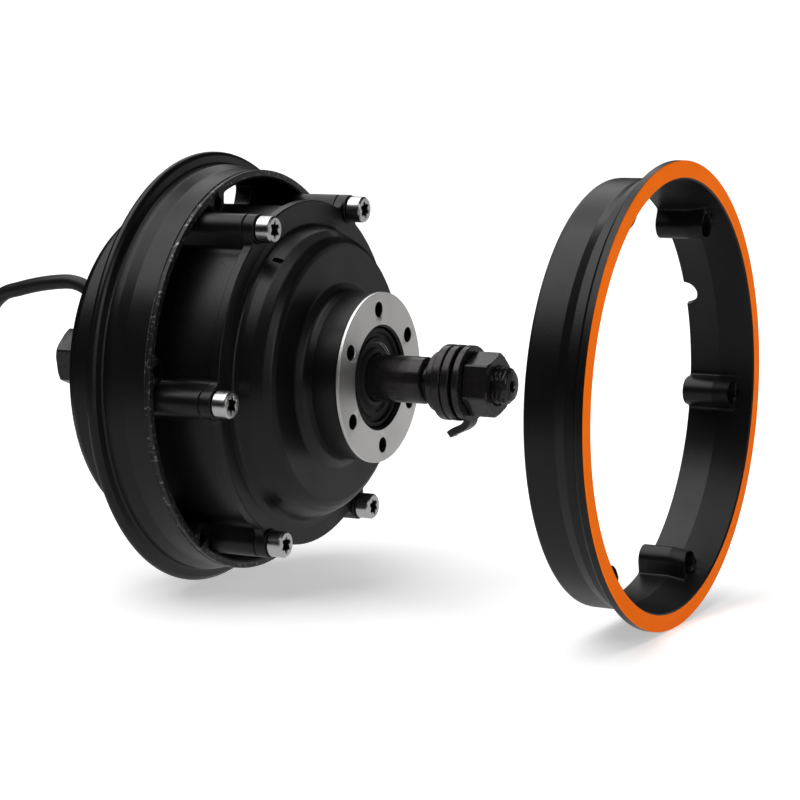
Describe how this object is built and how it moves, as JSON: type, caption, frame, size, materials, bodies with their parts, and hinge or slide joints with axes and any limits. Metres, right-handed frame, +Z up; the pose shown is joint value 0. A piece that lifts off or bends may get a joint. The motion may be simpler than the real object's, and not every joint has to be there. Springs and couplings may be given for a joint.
{
  "type": "hub motor wheel",
  "caption": "Scooter hub motor wheel with a split rim: one rim half is part of the motor's shell, the other slides off along the axle; threaded axle ends, brake-disc seat and a motor lead.",
  "frame": {"origin": "on the axle's centre line, at the plane where the two rim halves meet", "axes": "+Y along the axle towards the brake disc side, +Z up"},
  "size_m": [0.1418, 0.344, 0.1419],
  "materials": {
    "cast_black": "satin black powder coat on cast aluminium, fine texture",
    "black_steel": "black oxide on turned steel, slightly oily",
    "stainless": "bright stainless steel, turned sides",
    "bearing_steel": "ground steel",
    "rubber": "black rubber, satin",
    "black_plastic": "black moulded plastic",
    "lamination": "stamped electrical steel, varnished edges",
    "copper": "enamelled copper wire",
    "aluminium": "bare cast aluminium",
    "magnet": "nickel-plated magnets",
    "board": "green circuit board"
  },
  "bodies": {
    "axle_and_stator": {"axle": "black_steel", "stator_spider": "aluminium", "stator_core": "lamination", "stator_windings": "copper", "hall_sensor_board": "board", "bearing_inner_left": "bearing_steel", "bearing_inner_right": "bearing_steel", "right_collar": "black_steel", "right_washer_inner": "black_steel", "right_washer_outer": "black_steel", "right_hook_washer": "black_steel", "right_axle_nut": "black_steel", "left_washer": "black_steel", "left_hook_washer": "black_steel", "left_axle_nut": "black_steel", "cable_grommet": "rubber", "motor_cable": "rubber", "cable_coil": "rubber", "cable_tie": "black_plastic", "motor_plug": "black_plastic", "plug_cap_nut": "black_plastic"},
    "wheel": {"hub_shell": "cast_black", "cover_o_ring": "rubber", "magnet_yoke": "black_steel", "magnet_ring": "magnet", "front_cover": "cast_black", "bearing_outer_left": "bearing_steel", "bearing_outer_right": "bearing_steel", "shaft_seal_left": "rubber", "shaft_seal_right": "rubber", "cover_screw_1": "stainless", "cover_screw_2": "stainless", "cover_screw_3": "stainless", "cover_screw_4": "stainless", "cover_screw_5": "stainless", "cover_screw_6": "stainless"},
    "rim_half": {"outer_rim_half": "cast_black"},
    "balls_left": {"bearing_balls_left": "bearing_steel"},
    "balls_right": {"bearing_balls_right": "bearing_steel"}
  },
  "joints": [
    {"name": "wheel_spin", "type": "hinge", "parent": "axle_and_stator", "child": "wheel", "pos_m": [0, 0, 0], "axis": [0, 1, 0], "continuous": true},
    {"name": "rim_half_slide", "type": "slide", "parent": "wheel", "child": "rim_half", "axis": [0, 1, 0], "range_m": [-0.1257, 0.04]},
    {"name": "ball_spin_left", "type": "hinge", "parent": "axle_and_stator", "child": "balls_left", "pos_m": [0, 0, 0], "axis": [0, 1, 0], "continuous": true},
    {"name": "ball_spin_right", "type": "hinge", "parent": "axle_and_stator", "child": "balls_right", "pos_m": [0, 0, 0], "axis": [0, 1, 0], "continuous": true}
  ],
  "couplings": [
    {"joint": "ball_spin_left", "follows": "wheel_spin", "ratio": 0.594},
    {"joint": "ball_spin_right", "follows": "wheel_spin", "ratio": 0.594}
  ]
}
